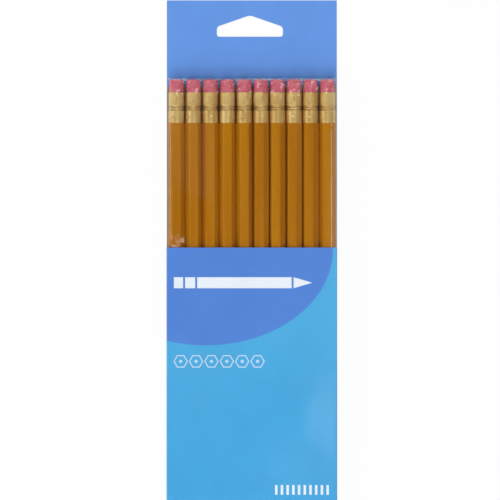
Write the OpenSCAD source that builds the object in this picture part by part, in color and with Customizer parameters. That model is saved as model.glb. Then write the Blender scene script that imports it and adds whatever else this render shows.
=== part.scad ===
// Retail pack of new pencils: a folded card sleeve with a hang hole, a clear film pouch, and a
// row of hexagonal pencils, each a casing, a lead, a ferrule and an eraser.
// The pack lies on its back. X runs across the pencils, Y along them towards the erasers and the
// hang hole, Z out of the printed front. The origin is the middle of the outline, on the back face.

/* [Pencils] */
// Number of pencils side by side
pencil_count = 10; // [4:1:14]
// Length of a pencil, from its flat end to the top of its eraser
pencil_len = 190.5; // [150:0.5:230]
// Space between neighbouring pencils
pencil_gap = 0.02; // [0.01:0.01:0.3]
// Angle by which a settled pencil is off its flat, at most
settle_roll = 2; // [0:0.5:6]
// Angle of the pencils that have rolled in the pack
group_roll = 15; // [0:1:30]
// First pencil that has rolled, counted from the left
group_first = 6; // [1:1:14]
// Last pencil that has rolled
group_last = 9; // [1:1:14]

/* [Casing and lead] */
// Width of the wooden casing across its flats
casing_flats = 6.95; // [6.2:0.05:9]
// Radius of the casing's rounded corners
casing_corner_r = 1.0; // [0.3:0.1:1.6]
// Depth by which the tenon is turned down below the flats
tenon_step = 0.1; // [0.05:0.05:0.4]
// Diameter of the lead
lead_d = 2.1; // [1.8:0.1:3]
// Glue space round the lead
lead_gap = 0.02; // [0.01:0.01:0.1]

/* [Ferrule] */
// Thickness of the ferrule's metal
ferrule_wall = 0.25; // [0.15:0.05:0.4]
// Radial clearance between the ferrule and what it holds
ferrule_fit = 0.02; // [0.01:0.01:0.08]
// Length of the band that holds the wood
wood_band = 5.6; // [4:0.1:8]
// Length of the beaded middle
bead_zone = 2.4; // [1.2:0.1:4]
// Length of the band that holds the eraser
eraser_band = 5.9; // [4:0.1:8]
// Number of grooves in the beaded middle
groove_count = 2; // [1:1:4]
// Depth of the grooves
groove_depth = 0.28; // [0.1:0.02:0.4]

/* [Eraser] */
// Diameter of the eraser
eraser_d = 6.8; // [5.4:0.1:8.2]
// Length of eraser that stands out of the ferrule
eraser_out = 6.1; // [3:0.1:10]
// Radius of the eraser's rounded end
eraser_round = 0.9; // [0.3:0.1:1.5]

/* [Film pouch] */
// Thickness of the clear film
film_t = 0.05; // [0.03:0.01:0.2]
// Space between the film and the pencils
film_gap = 0.05; // [0.02:0.01:0.5]
// Radius of the film's corners round the row of pencils
film_corner_r = 2; // [0.6:0.1:2.4]
// Length of film beyond the erasers
film_head = 1.2; // [0.4:0.1:6]

/* [Card sleeve] */
// Thickness of the card
card_t = 0.45; // [0.3:0.05:0.8]
// Space between the card and the film
card_gap = 0.05; // [0.02:0.01:0.5]
// Outer radius of the folds at the side walls
fold_r = 0.8; // [0.5:0.1:1.5]
// Outer radius of the crease between the front panel and the bottom
crease_r = 0.7; // [0.5:0.1:1]
// Height of the header above the erasers
header_h = 36.3; // [28:0.1:60]
// Height of the printed front panel
panel_h = 115.5; // [60:0.1:140]
// Space between the pencils' flat ends and the bottom of the sleeve
end_gap = 1.35; // [0.3:0.05:6]
// Width of the glue flap inside the back panel
glue_flap_w = 14; // [8:0.5:20]
// Height of the bottom's glued tongue inside the back panel
tongue_h = 12; // [6:0.5:20]
// Slit between the bottom and the side walls
corner_slit = 0.25; // [0.1:0.05:0.6]

/* [Hang hole] */
// Width of the hang hole
hole_w = 30.2; // [24:0.1:44]
// Height of the whole hole, from its flat edge to the top of its peak
hole_h = 9.5; // [7.5:0.1:14]
// Height of the hole's ends, up to where its slopes begin
hole_end_h = 4.5; // [3.8:0.1:6]
// Radius of the peak
peak_r = 4; // [1:0.1:6]
// Radius between the ends and the slopes
hole_end_r = 1.9; // [0.5:0.1:2.4]
// Radius of the corners on the flat edge
hole_base_r = 1.2; // [0.3:0.1:1.5]
// Card left above the peak
hole_margin = 7.1; // [4:0.1:14]
// Distance of the hole from the card's middle, to the right
hole_shift = -0.9; // [-4:0.1:4]

/* [Hidden] */
PIECES = ["casing", "lead", "ferrule", "eraser"];

// Facets along each arc, and the overrun of cuts
arc_steps = 8;
eps = 0.01;
$fn = 64;

// Casing, tenon, ferrule and eraser
corner_reach = (casing_flats / 2 - casing_corner_r) / cos(30);
ferrule_len = wood_band + bead_zone + eraser_band;
barrel_len = pencil_len - ferrule_len - eraser_out;
tenon_d = casing_flats - 2 * tenon_step;
bead_space = 0.1; // between the beaded middle and the tenon or the plug
tenon_len = wood_band - bead_space;
plug_len = eraser_band - bead_space;
wood_r = tenon_d / 2 + ferrule_fit + ferrule_wall;
tip_r = eraser_d / 2 + ferrule_fit + ferrule_wall;
ferrule_r = max(wood_r, tip_r);

// Row of pencils
settle_turn = 137.5; // between one pencil and the next, so that no two settle alike
row_w = left_edge(pencil_count + 1);
row_half_h = max([for (i = [1 : pencil_count]) half_height(i)]);

// Layers from the back panel to the front panel
film_w = row_w + 2 * (film_gap + film_t);
film_h = 2 * (row_half_h + film_gap + film_t);
flap_layer = card_t;
film_z = card_t + flap_layer + card_gap;
axis_z = film_z + film_h / 2;
sleeve_w = film_w + 2 * (card_gap + card_t);
sleeve_d = film_z + film_h + card_gap + card_t;

// Stations along the pack
card_h = card_t + end_gap + pencil_len + header_h;
bottom_y = -card_h / 2;
top_y = card_h / 2;
pencil_y = bottom_y + card_t + end_gap;
film_y = bottom_y + card_t + card_gap;
film_len = pencil_y + pencil_len + film_head - film_y;
flap_y = bottom_y + tongue_h + corner_slit;
hole_y = top_y - hole_margin - hole_h;

function two_digits(i) = i < 10 ? str("0", i) : str(i);

function pencil_node(i, piece) = str("pencil_", two_digits(i), "_", piece);

// Turn of pencil i about its own axis: its top facet leans to the left by this angle
function roll(i) = i >= group_first && i <= group_last
    ? group_roll + settle_roll * sin(i * settle_turn) / 2
    : settle_roll * sin(i * settle_turn);

// Half of the room that pencil i takes across the row, and above its axis
function half_width(i) =
    max(corner_reach * cos(roll(i)) + casing_corner_r, ferrule_r) + pencil_gap / 2;

function half_height(i) =
    max(corner_reach * sin(60 + abs(roll(i))) + casing_corner_r, ferrule_r);

// Distance from the left of the row to the left of pencil i
function left_edge(i) = i == 1 ? 0 : left_edge(i - 1) + 2 * half_width(i - 1);

function pencil_x(i) = left_edge(i) + half_width(i) - row_w / 2;

// Points of an arc about c, from angle a to angle b
function arc(c, r, a, b) =
    [for (k = [0 : arc_steps]) c + r * [cos(a + (b - a) * k / arc_steps), sin(a + (b - a) * k / arc_steps)]];

// Rectangle from corner lo to corner hi with round corners
function round_rect(lo, hi, r) = concat(
    arc([hi.x - r, hi.y - r], r, 0, 90),
    arc([lo.x + r, hi.y - r], r, 90, 180),
    arc([lo.x + r, lo.y + r], r, 180, 270),
    arc([hi.x - r, lo.y + r], r, 270, 360)
);

function round_hexagon() =
    [for (k = [0 : 5]) for (p = arc(corner_reach * [cos(60 * k), sin(60 * k)], casing_corner_r,
        60 * k - 30, 60 * k + 30)) p];

// Outer radius of the ferrule, t of the way up its beaded middle
function bead_r(t) =
    wood_r + (tip_r - wood_r) * t - groove_depth * (1 - cos(360 * groove_count * t)) / 2;

function bead_points(inset) = let (steps = arc_steps * groove_count)
    [for (k = [0 : steps]) [bead_r(k / steps) - inset, wood_band + bead_zone * k / steps]];

function backwards(points) = [for (k = [len(points) - 1 : -1 : 0]) points[k]];

// Seats whatever is modelled along Z in the place of pencil i
module in_row(i) {
    translate([pencil_x(i), pencil_y, axis_z])
        rotate([-90, 0, 0])
        rotate([0, 0, -roll(i)])
        children();
}

// Painted wooden casing: hexagonal barrel, round tenon for the ferrule, bore for the lead
module casing() {
    color("orange")
    difference() {
        union() {
            linear_extrude(barrel_len)
                polygon(round_hexagon());
            cylinder(h = barrel_len + tenon_len, d = tenon_d);
        }
        translate([0, 0, -eps])
            cylinder(h = barrel_len + tenon_len + 2 * eps, d = lead_d + 2 * lead_gap);
    }
}

// Graphite lead, as long as the wood
module lead() {
    color("dimgray")
    cylinder(h = barrel_len + tenon_len, d = lead_d);
}

// Thin metal ferrule: a band over the tenon, a beaded middle, a band over the eraser
module ferrule() {
    color("goldenrod")
    translate([0, 0, barrel_len])
        rotate_extrude()
        polygon(concat(
            [[wood_r - ferrule_wall, 0], [wood_r, 0]],
            bead_points(0),
            [[tip_r, ferrule_len], [tip_r - ferrule_wall, ferrule_len]],
            backwards(bead_points(ferrule_wall))
        ));
}

// Eraser: a plug in the ferrule and a rounded tip
module eraser() {
    color("palevioletred")
    translate([0, 0, barrel_len + ferrule_len - plug_len])
        rotate_extrude()
        polygon(concat(
            [[0, 0], [eraser_d / 2, 0]],
            arc([eraser_d / 2 - eraser_round, plug_len + eraser_out - eraser_round], eraser_round, 0, 90),
            [[0, plug_len + eraser_out]]
        ));
}

// Clear film round the row of pencils, closed past the erasers and open at the flat ends
module film_pouch() {
    lo = [-film_w / 2, -film_z - film_h];
    hi = [film_w / 2, -film_z];
    wall = [film_t, film_t];
    color("lightcyan", 0.4)
    translate([0, film_y, 0])
        rotate([-90, 0, 0])
        difference() {
            linear_extrude(film_len)
                polygon(round_rect(lo, hi, film_corner_r));
            translate([0, 0, -eps])
                linear_extrude(film_len - film_t + eps)
                polygon(round_rect(lo + wall, hi - wall, film_corner_r - film_t));
        }
}

// Outline of the hang hole about the middle of its flat edge, right half: the slope touches the
// peak's circle, and square faces the direction that is square to the slope
function half_hole() = let (
    corner = [hole_w / 2, hole_end_h],
    to_peak = [0, hole_h - peak_r] - corner,
    square = atan2(to_peak.y, to_peak.x) - asin(peak_r / norm(to_peak)) - 90,
    end_y = hole_end_h - hole_end_r * tan(square / 2)
) concat(
    arc([hole_w / 2 - hole_base_r, hole_base_r], hole_base_r, 270, 360),
    arc([hole_w / 2 - hole_end_r, end_y], hole_end_r, 0, square),
    arc([0, hole_h - peak_r], peak_r, square, 90)
);

// Both halves of the hang hole, which overlap a little along the middle, below the peak
module hang_hole() {
    translate([hole_shift, hole_y, -card_t])
        linear_extrude(3 * card_t)
        for (side = [0, 1])
            mirror([side, 0, 0])
            polygon(concat([[-eps, 0]], half_hole(), [[-eps, hole_h - eps]]));
}

// Side walls and front panel folded round the row, with the back panel between them
module wrap() {
    rotate([90, 0, 0])
        translate([0, 0, -bottom_y - panel_h])
        linear_extrude(panel_h)
        difference() {
            union() {
                polygon(round_rect([-sleeve_w / 2, 0], [sleeve_w / 2, sleeve_d], fold_r));
                translate([sleeve_w / 2 - fold_r, 0])
                    square([fold_r, card_t]);
            }
            polygon(round_rect([-sleeve_w / 2 + card_t, card_t],
                [sleeve_w / 2 - card_t, sleeve_d - card_t], fold_r - card_t));
        }
}

// Flap of the right side wall, glued on the inside of the back panel
module glue_flap() {
    translate([sleeve_w / 2 - card_t - glue_flap_w, flap_y, card_t])
        cube([glue_flap_w, bottom_y + panel_h - flap_y, flap_layer]);
}

// Bottom of the sleeve, folded from the front panel, and its tongue on the back panel
module bottom() {
    width = sleeve_w - 2 * (card_t + corner_slit);
    translate([-width / 2, bottom_y, 0])
        cube([width, card_t, sleeve_d - card_t / 2]);
    translate([-width / 2, bottom_y, card_t])
        cube([width, tongue_h, flap_layer]);
}

// What the crease between the front panel and the bottom takes off the square corner
module crease_cut() {
    translate([-sleeve_w, bottom_y, sleeve_d])
        rotate([0, 90, 0])
        linear_extrude(2 * sleeve_w)
        polygon(concat([[-eps, -eps]], arc([crease_r, crease_r], crease_r, 180, 270), [[crease_r, -eps]]));
}

// One die-cut, printed card: back panel with header and hang hole, wrap, flap and bottom
module card_sleeve() {
    color("cornflowerblue")
    difference() {
        union() {
            translate([-sleeve_w / 2, bottom_y + panel_h - eps, 0])
                cube([sleeve_w, card_h - panel_h + eps, card_t]);
            wrap();
            glue_flap();
            bottom();
        }
        hang_hole();
        crease_cut();
    }
}

card_sleeve();
film_pouch();
for (i = [1 : pencil_count]) {
    in_row(i) casing();
    in_row(i) lead();
    in_row(i) ferrule();
    in_row(i) eraser();
}
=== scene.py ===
"""Looks of a pencil pack: printed card sleeve, clear film, and a row of pencils with erasers."""
import math

import bmesh
import bpy
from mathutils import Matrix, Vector, noise


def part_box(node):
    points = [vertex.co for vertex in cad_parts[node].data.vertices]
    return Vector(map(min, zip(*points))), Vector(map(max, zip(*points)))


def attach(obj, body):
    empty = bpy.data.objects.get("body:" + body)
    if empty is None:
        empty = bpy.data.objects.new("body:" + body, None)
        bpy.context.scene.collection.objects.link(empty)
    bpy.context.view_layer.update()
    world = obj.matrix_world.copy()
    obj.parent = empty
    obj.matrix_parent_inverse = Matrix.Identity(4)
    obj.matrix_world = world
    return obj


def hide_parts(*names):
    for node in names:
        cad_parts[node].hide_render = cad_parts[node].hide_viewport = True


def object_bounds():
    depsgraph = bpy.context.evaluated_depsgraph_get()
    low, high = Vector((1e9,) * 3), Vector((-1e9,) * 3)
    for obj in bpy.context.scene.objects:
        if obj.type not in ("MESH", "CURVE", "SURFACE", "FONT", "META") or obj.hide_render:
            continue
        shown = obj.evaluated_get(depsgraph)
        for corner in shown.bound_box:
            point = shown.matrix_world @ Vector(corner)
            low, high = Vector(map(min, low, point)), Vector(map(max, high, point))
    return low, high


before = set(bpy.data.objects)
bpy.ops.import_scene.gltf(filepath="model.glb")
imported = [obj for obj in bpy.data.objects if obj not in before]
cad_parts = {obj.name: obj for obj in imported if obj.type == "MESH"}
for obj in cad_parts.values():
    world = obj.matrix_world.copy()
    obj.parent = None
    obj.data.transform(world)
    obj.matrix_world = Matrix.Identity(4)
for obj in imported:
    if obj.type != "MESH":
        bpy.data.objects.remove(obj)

CAD_LOW, CAD_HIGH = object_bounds()
BODY = "root"
MM = 0.001
FAR = 1  # metres, further off than anything on the pack

# What the frame says of the pack
PENCILS = sorted(name[: -len("_casing")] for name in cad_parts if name.endswith("_casing"))
SLEEVE_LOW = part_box("card_sleeve")[0]
FILM_LOW, FILM_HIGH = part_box("film_pouch")
ERASER_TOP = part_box(f"{PENCILS[0]}_eraser")[1].y
FERRULE_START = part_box(f"{PENCILS[0]}_ferrule")[0].y

# Sleeve: card and panel as in the CAD model, and where the header's print ends behind the erasers
CARD_T = 0.45 * MM
PANEL_H = 115.5 * MM
PANEL_TOP = SLEEVE_LOW.y + PANEL_H
HEADER_PRINT_END = ERASER_TOP - 3 * MM

# Ferrule: wall, lengths of the wood band and the beaded middle, and how much narrower its far end is
FERRULE_WALL = 0.25 * MM
WOOD_BAND = 5.6 * MM
BEAD_ZONE = 2.4 * MM
BEAD_STEP = 0.075 * MM
# What is rolled, crimped and punched into it
GROOVES = 2
GROOVE_DEPTH = 0.28 * MM
FLUTES = 26
FLUTE_DEPTH = 0.16 * MM
DIMPLES = 3
DIMPLE_DEPTH = 0.3 * MM
DIMPLE_R = 0.6 * MM
# Its edge on the wood is turned in, and its edge round the eraser has a lip
TURNED_IN = 0.04 * MM
LIP = 0.05 * MM
# Points round a ferrule, four to a flute, and round an eraser
FERRULE_AROUND = 4 * FLUTES
ERASER_AROUND = 64

# Eraser: radius of its rounded end and height of the dome on it, and how uneven it is
ERASER_ROUND = 0.9 * MM
DOME = 0.12 * MM
UNEVEN = 0.06 * MM
# Its plug: how much thinner it is, and how far below the ferrule's rim it ends
PLUG_INSET = 0.3 * MM
PLUG_BELOW = 0.6 * MM

# Film: its thickness, the radius of its corners, the depths of its dips, creases and puckers, and
# the share of its height that it loses at its seam
FILM_T = 0.04 * MM
FILM_CORNER = 2 * MM
DIP = 0.09 * MM
DIP_BEHIND = 0.02 * MM
CREASE = 0.05 * MM
PUCKER = 0.3 * MM
SEAM_CLOSED = 0.94

# Angles, in degrees, over which an edge stays sharp
SHARP_CAD = 30
SHARP_ERASER = 50
SHARP_THIN = 60


def linear(value):
    """One sRGB channel, 0 to 255, as linear light."""
    c = value / 255
    return c / 12.92 if c <= 0.04045 else ((c + 0.055) / 1.055) ** 2.4


def rgb(red, green, blue):
    """A colour for a node's socket, from sRGB values of 0 to 255."""
    return (linear(red), linear(green), linear(blue), 1)


# ---------------------------------------------------------------- materials


class Graph:
    """Short calls that build one material's nodes."""

    def __init__(self, name):
        self.material = bpy.data.materials.new(name)
        self.material.use_nodes = True
        self.tree = self.material.node_tree
        self.tree.nodes.clear()
        self.place = self.node("TexCoord").outputs["Object"]
        self.x, self.y, self.z = self.split(self.place)

    def node(self, kind, inputs=None, **settings):
        made = self.tree.nodes.new("ShaderNode" + kind)
        for key, value in settings.items():
            setattr(made, key, value)
        for key, value in (inputs or {}).items():
            if isinstance(value, bpy.types.NodeSocket):
                self.tree.links.new(value, made.inputs[key])
            else:
                made.inputs[key].default_value = value
        return made

    def split(self, vector):
        return self.node("SeparateXYZ", {0: vector}).outputs

    def math(self, operation, *values):
        return self.node("Math", dict(enumerate(values)), operation=operation).outputs[0]

    def scaled(self, x, y, z):
        """The place with each axis scaled, for a pattern that is longer one way."""
        return self.node("VectorMath", {0: self.place, 1: (x, y, z)}, operation="MULTIPLY").outputs[0]

    def noise(self, scale, detail=2.0, rough=0.5, vector=None):
        """Noise of 0 to 1. With a vector that is scaled already, scale is 1."""
        inputs = {"Vector": vector or self.place, "Scale": scale, "Detail": detail, "Roughness": rough}
        return self.node("TexNoise", inputs).outputs["Fac"]

    def between(self, value, low, high, to_low=0.0, to_high=1.0):
        """value from low..high as to_low..to_high, smoothly and clamped."""
        inputs = {0: value, 1: low, 2: high, 3: to_low, 4: to_high}
        return self.node("MapRange", inputs, interpolation_type="SMOOTHSTEP").outputs[0]

    def mix(self, factor, first, second, blend="MIX"):
        inputs = {0: factor, 6: first, 7: second}
        return self.node("Mix", inputs, data_type="RGBA", blend_type=blend).outputs[2]

    def bar(self, centre, size, soft=0.12 * MM):
        """1 inside a rectangle on the XY plane, 0 outside."""
        sides = []
        for axis, middle, extent in ((self.x, centre[0], size[0]), (self.y, centre[1], size[1])):
            off = self.math("ABSOLUTE", self.math("SUBTRACT", axis, middle))
            sides.append(self.between(off, extent / 2 - soft, extent / 2 + soft, 1.0, 0.0))
        return self.math("MULTIPLY", *sides)

    def falloff(self, centre, spread):
        """1 at a point of the XY plane, fading as a bell over spread along X and Y."""
        off_x = self.math("DIVIDE", self.math("SUBTRACT", self.x, centre[0]), spread[0])
        off_y = self.math("DIVIDE", self.math("SUBTRACT", self.y, centre[1]), spread[1])
        far = self.math("ADD", self.math("POWER", off_x, 2), self.math("POWER", off_y, 2))
        return self.math("EXPONENT", self.math("MULTIPLY", far, -1.0))

    def most(self, *masks):
        """The highest of several masks."""
        total = masks[0]
        for mask in masks[1:]:
            total = self.math("MAXIMUM", total, mask)
        return total

    def bump(self, height, depth, strength=1.0):
        """A normal. depth is what a height of 1 stands for."""
        inputs = {"Strength": strength, "Distance": depth, "Height": height}
        return self.node("Bump", inputs).outputs[0]

    def principled(self, **inputs):
        """Ends the material in a Principled BSDF. Keys are its sockets, with _ for a space."""
        named = {key.replace("_", " "): value for key, value in inputs.items()}
        self.output(self.node("BsdfPrincipled", named).outputs[0])
        return self.material

    def output(self, shader):
        """Ends the material in any shader."""
        self.node("OutputMaterial", {"Surface": shader})


# Print on the card: a header, a darker field and a sky parted by an ellipse, and plain marks.
# The sky changes from its low blue, near the bottom, to its light one in the middle
FIELD_CENTRE = (-21 * MM, 0.3 * MM)
FIELD_HALF = (57.9 * MM, 43.6 * MM)
FIELD_SOFT = 0.003
SKY_LOW_Y = -110 * MM
HEADER_BLUE = rgb(101, 152, 230)
FIELD_BLUE = rgb(81, 131, 214)
SKY_BLUE = rgb(65, 165, 222)
SKY_LIGHT = rgb(78, 173, 225)
MARK_WHITE = rgb(240, 246, 252)
MARK_COVER = 0.92
FAINT_MARK = 0.62
# Bare board: its cut edges, and its unprinted side
BOARD_WHITE = rgb(226, 224, 216)
BOARD_GREY = rgb(168, 150, 130)
BOARD_DARK = rgb(150, 134, 116)
WORN_MOST = 0.45
# Relief of the card, and the bow that it makes over the pencils
CARD_RELIEF = 0.5 * MM
BOW_CENTRE = (21 * MM, -80 * MM)
BOW_SPREAD = (18 * MM, 25 * MM)
BOW_HEIGHT = 3.7 * MM


def pencil_mark(g):
    """A plain pictogram of a pencil lying flat, as a mask."""
    middle, height = -14.8 * MM, 5 * MM
    start, point = -35.5 * MM, 27.5 * MM
    cone, gap = 8.5 * MM, 0.9 * MM
    eraser, ferrule = 4.2 * MM, 4.6 * MM
    parts = []
    left = start
    for length in (eraser, ferrule, point - cone - gap - start - eraser - ferrule - 2 * gap):
        parts.append(g.bar((left + length / 2, middle), (length, height)))
        left += length + gap
    taper = g.math("MULTIPLY", g.math("SUBTRACT", point, g.x), height / 2 / cone)
    off = g.math("ABSOLUTE", g.math("SUBTRACT", g.y, middle))
    inside = g.math("LESS_THAN", off, taper)
    along = g.bar((point - cone / 2, middle), (cone, height))
    parts.append(g.math("MULTIPLY", inside, along))
    return g.most(*parts)


def hexagon_marks(g):
    """A row of plain pencil ends: six hexagons, each with its lead, as a mask."""
    count, pitch, left, middle = 6, 7 * MM, -35.9 * MM, -50.6 * MM
    half_flats, line, lead, soft = 2.6 * MM, 0.5 * MM, 0.75 * MM, 0.1 * MM
    x = g.math("SUBTRACT", g.math("PINGPONG", g.math("SUBTRACT", g.x, left), pitch / 2), pitch / 2)
    y = g.math("SUBTRACT", g.y, middle)
    far_x, far_y = g.math("ABSOLUTE", x), g.math("ABSOLUTE", y)
    slant_x = g.math("MULTIPLY", far_x, math.cos(math.pi / 6))
    slanted = g.math("ADD", slant_x, g.math("MULTIPLY", far_y, math.sin(math.pi / 6)))
    from_middle = g.math("MAXIMUM", slanted, far_y)
    off_line = g.math("ABSOLUTE", g.math("SUBTRACT", from_middle, half_flats))
    ring = g.between(off_line, line / 2 - soft, line / 2 + soft, 1.0, 0.0)
    reach = g.math("SQRT", g.math("ADD", g.math("POWER", far_x, 2), g.math("POWER", far_y, 2)))
    dot = g.between(reach, lead - soft, lead + soft, 1.0, 0.0)
    row = g.bar((left + count * pitch / 2, middle), (count * pitch, pitch))
    return g.math("MULTIPLY", g.math("MAXIMUM", ring, dot), row)


def tally_marks(g):
    """Ten plain strokes near the bottom right corner, as a mask."""
    count, pitch, width, height = 10, 2.6 * MM, 1.1 * MM, 4.4 * MM
    right, middle = 34.5 * MM, SLEEVE_LOW.y + 5.2 * MM
    return g.most(*(g.bar((right - k * pitch, middle), (width, height)) for k in range(count)))


def card_print(g, faces_up, faces_down, above_panel):
    """Colour of the printed side: header, field, sky and marks."""
    across = g.math("DIVIDE", g.math("SUBTRACT", g.x, FIELD_CENTRE[0]), FIELD_HALF[0])
    along = g.math("DIVIDE", g.math("SUBTRACT", g.y, FIELD_CENTRE[1]), FIELD_HALF[1])
    reach = g.math("SQRT", g.math("ADD", g.math("POWER", across, 2), g.math("POWER", along, 2)))
    in_field = g.between(reach, 1 - FIELD_SOFT, 1 + FIELD_SOFT, 1.0, 0.0)
    sky = g.mix(g.between(g.y, SKY_LOW_Y, 0.0), SKY_BLUE, SKY_LIGHT)
    front = g.mix(in_field, sky, FIELD_BLUE)
    faint = g.math("MULTIPLY", hexagon_marks(g), FAINT_MARK)
    marks = g.most(pencil_mark(g), tally_marks(g), faint)
    front = g.mix(g.math("MULTIPLY", g.math("MULTIPLY", marks, faces_up), MARK_COVER), front, MARK_WHITE)
    colour = g.mix(above_panel, front, HEADER_BLUE)
    colour = g.mix(faces_down, colour, SKY_BLUE)

    # Soft unevenness of the ink, and fine grain
    mottle = g.between(g.noise(70, detail=3), 0.3, 0.7, 0.975, 1.02)
    grain = g.between(g.noise(2600, detail=2, rough=0.7), 0.25, 0.75, 0.975, 1.02)
    shade = g.math("MULTIPLY", mottle, grain)
    grey = g.node("CombineColor", {0: shade, 1: shade, 2: shade}).outputs[0]
    return g.mix(1.0, colour, grey, "MULTIPLY")


def card_material():
    """Printed outside, plain board inside and on cut edges, and a gloss that follows the card's bow."""
    g = Graph("printed_card")
    nx, ny, nz = g.split(g.node("NewGeometry").outputs["Normal"])
    steep_x, steep_y, steep_z = (g.math("ABSOLUTE", n) for n in (nx, ny, nz))
    faces_up = g.math("GREATER_THAN", nz, 0.5)
    faces_down = g.math("LESS_THAN", nz, -0.5)
    above_panel = g.math("GREATER_THAN", g.y, PANEL_TOP - 0.02 * MM)
    colour = card_print(g, faces_up, faces_down, above_panel)

    # Bare board: the cut edges above the front panel, and specks worn off the folds
    flat = g.math("GREATER_THAN", steep_z, 0.5)
    cut = g.math("MULTIPLY", above_panel, g.math("SUBTRACT", 1.0, flat))
    on_fold = g.between(g.most(steep_x, steep_y, steep_z), 0.78, 0.97, 1.0, 0.0)
    worn = g.math("MULTIPLY", on_fold, g.between(g.noise(700, detail=4, rough=0.7), 0.54, 0.66))
    worn = g.math("MULTIPLY", worn, WORN_MOST)

    # Bare board: the inside of the side walls, of the front panel, and of the back panel with its flap
    inward = g.math("LESS_THAN", g.math("MULTIPLY", g.x, nx), 0.45 * SLEEVE_LOW.x)
    under = g.math("MULTIPLY", faces_down, g.math("GREATER_THAN", g.z, 1 * MM))
    low_front = g.math("MULTIPLY", faces_up, g.math("LESS_THAN", g.z, 2 * CARD_T + 0.1 * MM))
    lining = g.math("MULTIPLY", low_front, g.math("LESS_THAN", g.y, HEADER_PRINT_END))
    bare = g.most(cut, worn, inward, under, lining)
    board = g.mix(g.noise(1800, detail=3), BOARD_GREY, BOARD_DARK)
    board = g.mix(g.most(cut, worn), board, BOARD_WHITE)
    colour = g.mix(bare, colour, board)

    # The card's fibres and waves, and its bow over the pencils, most of all near the right fold
    fibres = g.noise(1500, detail=4, rough=0.65)
    waves = g.noise(24, detail=2)
    height = g.math("ADD", g.math("MULTIPLY", fibres, 0.02), waves)
    bow = g.math("MULTIPLY", g.falloff(BOW_CENTRE, BOW_SPREAD), BOW_HEIGHT / CARD_RELIEF)
    relief = g.bump(g.math("ADD", height, bow), CARD_RELIEF, strength=0.6)
    return g.principled(
        Base_Color=colour,
        Roughness=g.between(bare, 0.0, 1.0, 0.42, 0.9),
        Specular_IOR_Level=0.2,
        Normal=relief,
        Coat_Normal=relief,
        Coat_Weight=0.3,
        Coat_Roughness=0.19,
    )


PAINT = rgb(192, 125, 7)
PAINT_DEEP = rgb(177, 108, 4)
WOOD = rgb(205, 160, 112)
WOOD_DARK = rgb(176, 128, 84)


def casing_material():
    """Gloss paint with faint lengthwise streaks and nicks, and bare wood with its rings on the ends."""
    g = Graph("pencil_paint")
    ny = g.split(g.node("NewGeometry").outputs["Normal"])[1]
    from_pencil_to_pencil = g.noise(1, detail=1, vector=g.scaled(160, 6, 0))
    streaks = g.noise(1, detail=3, rough=0.6, vector=g.scaled(3800, 28, 3800))
    tone = g.math("ADD", g.math("MULTIPLY", from_pencil_to_pencil, 0.7), g.math("MULTIPLY", streaks, 0.3))
    colour = g.mix(g.between(tone, 0.35, 0.65), PAINT_DEEP, PAINT)
    nicks = g.between(g.noise(420, detail=5, rough=0.72), 0.70, 0.74)
    colour = g.mix(g.math("MULTIPLY", nicks, 0.35), colour, WOOD_DARK)
    end = g.between(g.math("ABSOLUTE", ny), 0.8, 0.95)
    rings = g.noise(1, detail=2, vector=g.scaled(2600, 10, 700))
    colour = g.mix(end, colour, g.mix(rings, WOOD_DARK, WOOD))
    ripple = g.noise(1, detail=2, vector=g.scaled(900, 60, 900))
    return g.principled(
        Base_Color=colour,
        Roughness=g.between(end, 0.0, 1.0, 0.5, 0.85),
        Specular_IOR_Level=0.05,
        Normal=g.bump(ripple, 0.02 * MM, strength=0.8),
        Coat_Weight=0.25,
        Coat_Roughness=0.2,
    )


GRAPHITE_DARK = rgb(38, 38, 41)
GRAPHITE = rgb(70, 70, 74)


def lead_material():
    """Dull graphite with a fine grain."""
    g = Graph("graphite")
    grain = g.noise(5200, detail=3)
    colour = g.mix(grain, GRAPHITE_DARK, GRAPHITE)
    return g.principled(Base_Color=colour, Roughness=0.45, Metallic=0.2, Normal=g.bump(grain, 0.01 * MM))


GOLD_DEEP = rgb(219, 178, 106)
GOLD_PALE = rgb(232, 200, 134)
# The tarnish colour also paints shade into the grooves
TARNISH_AND_SHADE = rgb(150, 108, 60)
# How much of the tarnish colour shows in patches, and how much of it is painted into the grooves as shade
PATCH_TARNISH = 0.3
GROOVE_PAINTED_SHADE = 0.38


def ferrule_material():
    """Gold-coloured metal with fine scuffs round it, duller in patches, and with shade painted into the
    grooves.
    """
    g = Graph("gold_ferrule")
    tone = g.noise(1, detail=2, vector=g.scaled(150, 90, 150))
    colour = g.mix(g.between(tone, 0.3, 0.7), GOLD_DEEP, GOLD_PALE)
    scuffs = g.noise(1, detail=4, rough=0.65, vector=g.scaled(900, 5200, 900))
    dull = g.between(g.noise(700, detail=4, rough=0.7), 0.5, 0.72)
    # Painted shade: the colour of the beaded zone, with its grooves, is darkened
    bead_zone_shade = g.bar((0, FERRULE_START + WOOD_BAND + BEAD_ZONE / 2), (1, BEAD_ZONE), 0.3 * MM)
    tarnish_and_shade = g.most(g.math("MULTIPLY", dull, PATCH_TARNISH), g.math("MULTIPLY", bead_zone_shade, GROOVE_PAINTED_SHADE))
    colour = g.mix(tarnish_and_shade, colour, TARNISH_AND_SHADE)
    return g.principled(
        Base_Color=colour,
        Metallic=0.85,
        Roughness=g.between(scuffs, 0.3, 0.7, 0.38, 0.54),
        Normal=g.bump(scuffs, 0.006 * MM),
    )


RUBBER_DEEP = rgb(204, 86, 104)
RUBBER_PALE = rgb(215, 113, 128)
RUBBER_DUST = rgb(226, 160, 168)


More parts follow.
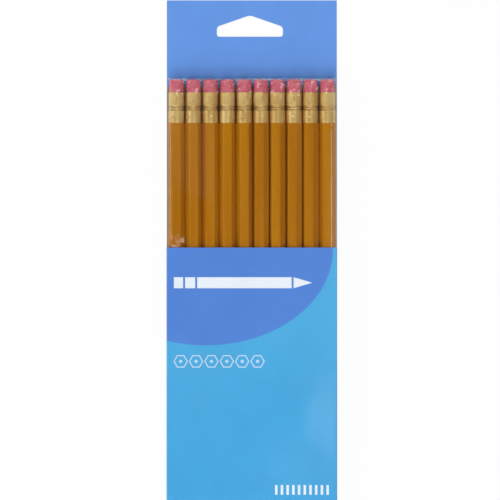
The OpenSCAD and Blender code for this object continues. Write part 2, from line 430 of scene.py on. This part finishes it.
def eraser_material():
    """Matte pink rubber, blotchy and a little dusty."""
    g = Graph("pink_rubber")
    blotch = g.noise(380, detail=3)
    colour = g.mix(g.between(blotch, 0.35, 0.65), RUBBER_DEEP, RUBBER_PALE)
    dust = g.between(g.noise(2600, detail=3, rough=0.7), 0.58, 0.7)
    colour = g.mix(g.math("MULTIPLY", dust, 0.3), colour, RUBBER_DUST)
    fine = g.noise(3400, detail=3, rough=0.7)
    grain = g.math("ADD", fine, g.math("MULTIPLY", g.noise(900, detail=2), 0.8))
    return g.principled(Base_Color=colour, Roughness=0.78, Normal=g.bump(grain, 0.03 * MM))


# The clear film, and the white of the hazy layer that paints its glare
FILM_CLEAR = rgb(253, 254, 254)
FILM_GLARE_HAZE = rgb(250, 250, 250)
# The film lies in two layers left of DOUBLE_FILM_X and above a ragged, slanting edge, which would cross
# the middle line a little above DOUBLE_FILM_Y. Its faint white hazing there is partly that second layer
# and partly painted glare
DOUBLE_FILM_Y = 11 * MM
DOUBLE_FILM_X = -18 * MM
DOUBLE_FILM_HAZE_AND_GLARE = 0.004
# Where the film is rumpled: towards its end, and round three places, each with its spread
RUMPLED_END = 66 * MM
RUMPLES = (((-35.5 * MM, 4 * MM), 3.5 * MM), ((37 * MM, 77 * MM), 3 * MM), ((22 * MM, 75 * MM), 3.5 * MM))


def film_material():
    """Clear film: a thin gloss, with painted glare as white hazing round the eraser tops and, barely,
    where it lies in two layers.
    """
    g = Graph("clear_film")
    ripple = g.noise(1, detail=3, rough=0.55, vector=g.scaled(60, 22, 60))
    rumpled = g.between(g.y, RUMPLED_END, FILM_HIGH.y, 0.0, 0.5)
    for place, spread in RUMPLES:
        rumpled = g.most(rumpled, g.falloff(place, (spread, spread)))
    creases = g.math("ABSOLUTE", g.math("SUBTRACT", g.noise(210, detail=1), 0.5))
    height = g.math("ADD", ripple, g.math("MULTIPLY", g.math("MULTIPLY", creases, rumpled), 14))
    normal = g.bump(height, 0.25 * MM)

    # Gloss, stronger where the film is seen aslant
    see = g.node("BsdfTransparent", {"Color": FILM_CLEAR}).outputs[0]
    gloss = g.node("BsdfAnisotropic", {"Roughness": 0.12, "Normal": normal}).outputs[0]
    aside = g.node("LayerWeight", {"Blend": 0.5, "Normal": normal}).outputs["Facing"]
    share = g.math("ADD", 0.03, g.math("MULTIPLY", g.math("POWER", aside, 4), 0.2))
    clear = g.node("MixShader", {0: share, 1: see, 2: gloss}).outputs[0]

    # Hazing: painted glare as a faint white diffuse layer round the eraser tops, and, barely, where the
    # film lies in two layers, partly for that second layer
    edge = g.math("ADD", g.math("MULTIPLY", g.x, -0.4), g.math("MULTIPLY", g.noise(60, detail=2), 6 * MM))
    above = g.between(g.math("SUBTRACT", g.y, edge), DOUBLE_FILM_Y, DOUBLE_FILM_Y + 1.2 * MM)
    left = g.between(g.x, DOUBLE_FILM_X, DOUBLE_FILM_X + 2 * MM, 1.0, 0.0)
    twofold_and_glare = g.math("MULTIPLY", g.math("MULTIPLY", above, left), DOUBLE_FILM_HAZE_AND_GLARE)
    glare_at_eraser_tops = g.bar((0, ERASER_TOP - 0.2 * MM), (1, 1.2 * MM), 0.5 * MM)
    patches = g.between(g.noise(170, detail=2), 0.35, 0.6, 0.01, 0.07)
    haze_and_glare = g.most(twofold_and_glare, g.math("MULTIPLY", glare_at_eraser_tops, patches))
    glare_haze = g.node("BsdfDiffuse", {"Color": FILM_GLARE_HAZE}).outputs[0]
    g.output(g.node("MixShader", {0: haze_and_glare, 1: clear, 2: glare_haze}).outputs[0])
    return g.material


MATERIALS = {
    "card": card_material(),
    "casing": casing_material(),
    "lead": lead_material(),
    "ferrule": ferrule_material(),
    "eraser": eraser_material(),
    "film": film_material(),
}


# ---------------------------------------------------------------- meshes


def mesh_object(name, bm, material, sharp):
    """Turns a bmesh into a smooth-shaded piece."""
    bmesh.ops.recalc_face_normals(bm, faces=bm.faces)
    mesh = bpy.data.meshes.new(name)
    bm.to_mesh(mesh)
    bm.free()
    made = bpy.data.objects.new(name, mesh)
    bpy.context.scene.collection.objects.link(made)
    smooth(made, sharp)
    made.data.materials.append(material)
    return made


def smooth(piece, sharp):
    """Smooth shading, with edges of more than sharp degrees left as they are."""
    piece.data.polygons.foreach_set("use_smooth", [True] * len(piece.data.polygons))
    piece.data.set_sharp_from_angle(angle=math.radians(sharp))


def revolve(profile, axis_x, axis_z, around, shift=None):
    """bmesh of rings along Y. profile is a list of (y, radius), and a ring of radius 0 is a point.
    shift(angle, y) is added to the radius. A profile that starts at a point ends at one. Any other is
    joined up, last ring to first, as the wall of a tube."""
    bm = bmesh.new()
    rings = []
    for y, radius in profile:
        if radius == 0:
            rings.append([bm.verts.new((axis_x, y, axis_z))])
            continue
        ring = []
        for k in range(around):
            angle = math.tau * k / around
            r = radius + (shift(angle, y) if shift else 0)
            ring.append(bm.verts.new((axis_x + r * math.cos(angle), y, axis_z + r * math.sin(angle))))
        rings.append(ring)
    pairs = list(zip(rings, rings[1:]))
    if len(rings[0]) > 1:
        pairs.append((rings[-1], rings[0]))
    for first, second in pairs:
        for k in range(around):
            corners = [first[k % len(first)], first[(k + 1) % len(first)]]
            corners += [second[(k + 1) % len(second)], second[k % len(second)]]
            bm.faces.new(list(dict.fromkeys(corners)))
    return bm


def steps(start, end, count):
    """Values from start to end in count even steps."""
    return [start + (end - start) * k / count for k in range(count + 1)]


def window(value, low, high, fade):
    """0 up to low and from high on, and 1 between them, with a smooth change over fade inside each."""
    rise = min(max((value - low) / fade, 0), 1)
    fall = min(max((high - value) / fade, 0), 1)
    return (rise * rise * (3 - 2 * rise)) * (fall * fall * (3 - 2 * fall))


def pencil_axis(pencil):
    """x and z of the pencil's axis, and its ferrule's lowest and highest corner."""
    low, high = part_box(f"{pencil}_ferrule")
    return (low.x + high.x) / 2, (low.z + high.z) / 2, low, high


def ferrule_mesh(pencil, number):
    """Bands, beads, crimped flutes and punched dimples of one ferrule."""
    axis_x, axis_z, low, high = pencil_axis(pencil)
    outer = (high.x - low.x) / 2
    length = high.y - low.y
    bead_end = WOOD_BAND + BEAD_ZONE
    turn = noise.noise(Vector((number * 3.7, 0.4, 0.9))) * math.pi

    def radius(t):
        """Outer radius at t from the wood end."""
        if t < WOOD_BAND:
            return outer - TURNED_IN * window(t, -FAR, 0.35 * MM, 0.3 * MM)
        if t > bead_end:
            return outer - BEAD_STEP + LIP * window(t, length - 0.45 * MM, FAR, 0.2 * MM)
        u = (t - WOOD_BAND) / BEAD_ZONE
        return outer - BEAD_STEP * u - GROOVE_DEPTH * (1 - math.cos(math.tau * GROOVES * u)) / 2

    def pressed(angle, y):
        """What the flutes and the dimples add to the radius, which is nothing or less."""
        t = y - low.y
        flutes = window(t, bead_end + 0.7 * MM, length - 0.9 * MM, 0.5 * MM)
        depth = FLUTE_DEPTH * flutes * (0.5 + 0.5 * math.cos(FLUTES * (angle + turn)))
        for k in range(DIMPLES):
            for level in (0.45 * WOOD_BAND, WOOD_BAND + 0.5 * BEAD_ZONE):
                off = (angle - turn - math.tau * k / DIMPLES + math.pi) % math.tau - math.pi
                reach = math.hypot(off * outer, t - level) / DIMPLE_R
                depth += DIMPLE_DEPTH * math.exp(-reach * reach * 1.5)
        return -depth

    stations = steps(0, WOOD_BAND, 26) + steps(WOOD_BAND, bead_end, 26)[1:]
    stations += steps(bead_end, length, 24)[1:]
    profile = [(low.y + t, radius(t)) for t in stations]
    profile += [(low.y + t, radius(t) - FERRULE_WALL) for t in reversed(stations)]
    bm = revolve(profile, axis_x, axis_z, FERRULE_AROUND, pressed)
    return mesh_object(f"{pencil}_ferrule_shell", bm, MATERIALS["ferrule"], SHARP_THIN)


def eraser_mesh(pencil, number):
    """Moulded eraser, a little swollen above the crimp, with a softly domed end."""
    axis_x, axis_z, _, ferrule_high = pencil_axis(pencil)
    low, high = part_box(f"{pencil}_eraser")
    radius = (high.x - low.x) / 2
    rim = ferrule_high.y
    plug_r = radius - PLUG_INSET
    # Height above the ferrule's rim and inset of the part that stands out, in millimetres
    swelling = ((-0.1, 0.14), (0.15, 0.03), (0.5, 0.0), (1.1, 0.04), (2.0, 0.06), (3.0, 0.06))

    def uneven(angle, y):
        where = Vector((math.cos(angle) * 1.3, math.sin(angle) * 1.3, y / (4 * MM) + number * 5.1))
        return UNEVEN * (noise.noise(where) - 0.6)

    profile = [(low.y, 0), (low.y, plug_r), (rim - PLUG_BELOW, plug_r)]
    profile += [(rim + t * MM, radius - inset * MM) for t, inset in swelling]
    side = profile[-1][1]
    for angle in steps(0, math.pi / 2, 8):
        rounded = side - ERASER_ROUND * (1 - math.cos(angle))
        profile.append((high.y - DOME - ERASER_ROUND * (1 - math.sin(angle)), rounded))
    # The dome: millimetres below the eraser's top, and shares of its radius
    for drop, share in ((0.05, 0.5), (0.02, 0.2), (0.02, 0)):
        profile.append((high.y - drop * MM, radius * share))
    bm = revolve(profile, axis_x, axis_z, ERASER_AROUND, uneven)
    return mesh_object(f"{pencil}_eraser_rubber", bm, MATERIALS["eraser"], SHARP_ERASER)


def film_outline():
    """Points across the pack, anticlockwise: each corner's arc, then the flat stretch after it.
    Each point is x and z from the film's middle, and the outward direction there."""
    inner_w = FILM_HIGH.x - FILM_LOW.x - 2 * FILM_CORNER
    inner_h = FILM_HIGH.z - FILM_LOW.z - 2 * FILM_CORNER
    # Which side and level each corner is at, and into how many lengths the stretch after it is cut
    corners = ((1, 1, 150), (-1, 1, 1), (-1, -1, 40), (1, -1, 1))
    loop = []
    for quarter, (side, level, stretch) in enumerate(corners):
        for degrees in steps(90 * quarter, 90 * quarter + 90, 6):
            c, s = math.cos(math.radians(degrees)), math.sin(math.radians(degrees))
            x = side * inner_w / 2 + FILM_CORNER * c
            loop.append((x, level * inner_h / 2 + FILM_CORNER * s, c, s))
        for k in range(1, stretch):
            x = side * inner_w * (0.5 - k / stretch)
            loop.append((x, level * (inner_h / 2 + FILM_CORNER), 0, level))
    return loop


def film_mesh():
    """Film stretched over the row: it dips between pencils, puckers at its end, and has a few creases."""
    centres = [pencil_axis(pencil)[0] for pencil in PENCILS]
    pitch = (centres[-1] - centres[0]) / (len(centres) - 1)
    middle_x = (FILM_LOW.x + FILM_HIGH.x) / 2
    middle_z = (FILM_LOW.z + FILM_HIGH.z) / 2

    def inset(x, y, up):
        """How far the film lies inside its box."""
        from_centre = min(abs(x - c) for c in centres) / (pitch / 2)
        dip = DIP * from_centre * from_centre if up > 0.5 else DIP_BEHIND
        # Creases about 10 mm apart and 30 mm long, a little aslant
        crease = noise.noise(Vector((x * 95 + y * 46, y * 30 - x * 18, 2.2)))
        dip += CREASE * (0.5 + 0.5 * crease)
        # Puckers about 7 mm apart, unevenly, over the last of the film
        pucker = window(FILM_HIGH.y - y, -FAR, 2.5 * MM, 2.5 * MM)
        return dip + pucker * PUCKER * (0.6 + 0.4 * math.sin(x * 900 + 1.7 * math.sin(x * 310)))

    def closing(y):
        """Share of its full height that the film still has at y, as it closes to a flat seam."""
        past = max(0, (y - ERASER_TOP) / (FILM_HIGH.y - ERASER_TOP))
        return 1 - SEAM_CLOSED * past * past

    # Stations along the film, closer together where it shows and at its end
    shows, end = PANEL_TOP - 4 * MM, FILM_HIGH.y - 6 * MM
    stations = steps(FILM_LOW.y, shows, 14)
    for start, stop, count in ((shows, end, 70), (end, ERASER_TOP, 14), (ERASER_TOP, FILM_HIGH.y, 10)):
        stations += steps(start, stop, count)[1:]

    bm = bmesh.new()
    loop = film_outline()
    rings = []
    for y in stations:
        ring = []
        for x, z, nx, nz in loop:
            d = inset(middle_x + x, y, nz)
            ring.append(bm.verts.new((middle_x + x - nx * d, y, middle_z + (z - nz * d) * closing(y))))
        rings.append(ring)
    for first, second in zip(rings, rings[1:]):
        for k in range(len(loop)):
            after = (k + 1) % len(loop)
            bm.faces.new((first[k], first[after], second[after], second[k]))
    bm.faces.new(rings[-1])
    made = mesh_object("film_wrap", bm, MATERIALS["film"], SHARP_THIN)
    shell = made.modifiers.new("thickness", "SOLIDIFY")
    shell.thickness = FILM_T
    shell.offset = -1
    return made


# ---------------------------------------------------------------- the pack


def dress(node, material):
    """Gives a CAD node its finish and smooth shading."""
    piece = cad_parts[node]
    piece.data.materials.clear()
    piece.data.materials.append(material)
    smooth(piece, SHARP_CAD)


def stand_for(piece, node):
    """piece is what shows of a CAD node."""
    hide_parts(node)
    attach(piece, BODY)


dress("card_sleeve", MATERIALS["card"])
for number, pencil in enumerate(PENCILS):
    dress(f"{pencil}_casing", MATERIALS["casing"])
    dress(f"{pencil}_lead", MATERIALS["lead"])
    stand_for(ferrule_mesh(pencil, number), f"{pencil}_ferrule")
    stand_for(eraser_mesh(pencil, number), f"{pencil}_eraser")
stand_for(film_mesh(), "film_pouch")


# ---------------------------------------------------------------- stage, light and camera


FLOOR_SIZE = 5
FLOOR_BELOW = 0.05 * MM
FLOOR_PAINT = (0.92, 0.92, 0.92, 1)
# Share of plain white in what the camera, gloss and glass see of the floor
FLOOR_WHITE = 0.92


def floor():
    """Pale floor that the camera sees nearly white, with the pack's soft shadow."""
    g = Graph("floor_white")
    rays = g.node("LightPath").outputs
    seen = g.most(rays["Is Camera Ray"], rays["Is Glossy Ray"], rays["Is Transmission Ray"])
    plain = g.node("BsdfDiffuse", {"Color": FLOOR_PAINT}).outputs[0]
    white = g.node("Emission", {"Strength": 1.0}).outputs[0]
    share = g.math("MULTIPLY", seen, FLOOR_WHITE)
    g.output(g.node("MixShader", {0: share, 1: plain, 2: white}).outputs[0])
    half = FLOOR_SIZE / 2
    corners = [(-half, -half, 0), (half, -half, 0), (half, half, 0), (-half, half, 0)]
    mesh = bpy.data.meshes.new("floor")
    mesh.from_pydata(corners, [], [(0, 1, 2, 3)])
    made = bpy.data.objects.new("floor", mesh)
    made.location.z = CAD_LOW.z - FLOOR_BELOW
    made.data.materials.append(g.material)
    bpy.context.scene.collection.objects.link(made)


# The room is pale all round, with a dark ceiling for flat gloss to mirror.
# It darkens between two heights, where 0 is the horizon and 1 the zenith
ROOM_LIGHT = 0.52
CEILING_LIGHT = 0.03
CEILING_STARTS = 0.6
CEILING_FULL = 0.86


def softbox(name, place, size, strength):
    """Square area lamp that looks at the pack. strength is how bright it alone makes white paint that
    faces up, where 1 is plain white."""
    lamp = bpy.data.lights.new(name, "AREA")
    lamp.size = size
    place = Vector(place)
    slant = place.normalized().z
    lamp.energy = strength * math.pi ** 2 * place.length_squared / slant
    made = bpy.data.objects.new(name, lamp)
    made.location = place
    made.rotation_euler = (-place).to_track_quat("-Z", "Y").to_euler()
    bpy.context.scene.collection.objects.link(made)


def light():
    """Room and lamps. The glare lamp is what the card mirrors near its right fold."""
    world = bpy.data.worlds.new("studio")
    world.use_nodes = True
    tree = world.node_tree
    towards = tree.nodes.new("ShaderNodeTexCoord").outputs["Generated"]
    upward = tree.nodes.new("ShaderNodeSeparateXYZ")
    level = tree.nodes.new("ShaderNodeMapRange")
    level.interpolation_type = "SMOOTHSTEP"
    ranges = (CEILING_STARTS, CEILING_FULL, ROOM_LIGHT, CEILING_LIGHT)
    for socket, value in zip(level.inputs[1:5], ranges):
        socket.default_value = value
    tree.links.new(towards, upward.inputs[0])
    tree.links.new(upward.outputs["Z"], level.inputs[0])
    tree.links.new(level.outputs[0], tree.nodes["Background"].inputs["Strength"])
    tree.nodes["Background"].inputs["Color"].default_value = (1, 1, 1, 1)
    bpy.context.scene.world = world
    softbox("foot", place=(-0.3, -1.0, 1.0), size=1.4, strength=0.28)
    softbox("front", place=(-0.1, -0.72, 1.3), size=0.7, strength=0.15)
    softbox("head", place=(0.2, 0.9, 1.0), size=0.9, strength=0.21)
    softbox("left", place=(-1.1, 0.0, 0.8), size=0.7, strength=0.1)
    softbox("glare", place=(0.41, -0.1, 1.5), size=0.4, strength=0.09)


def camera():
    """Straight down on the pack, which is its front, from far off. The pack's length fills the field."""
    data = bpy.data.cameras.new("front")
    made = bpy.data.objects.new("front", data)
    distance = 1.8
    field = 228.2 * MM
    aside, along = -0.85 * MM, 0.1 * MM
    data.lens = data.sensor_width * distance / field
    made.location = (aside, along, distance + CAD_HIGH.z / 2)
    data.clip_start, data.clip_end = 0.1, 10
    bpy.context.scene.collection.objects.link(made)
    bpy.context.scene.camera = made


floor()
light()
camera()
bpy.context.scene.view_settings.view_transform = "Standard"
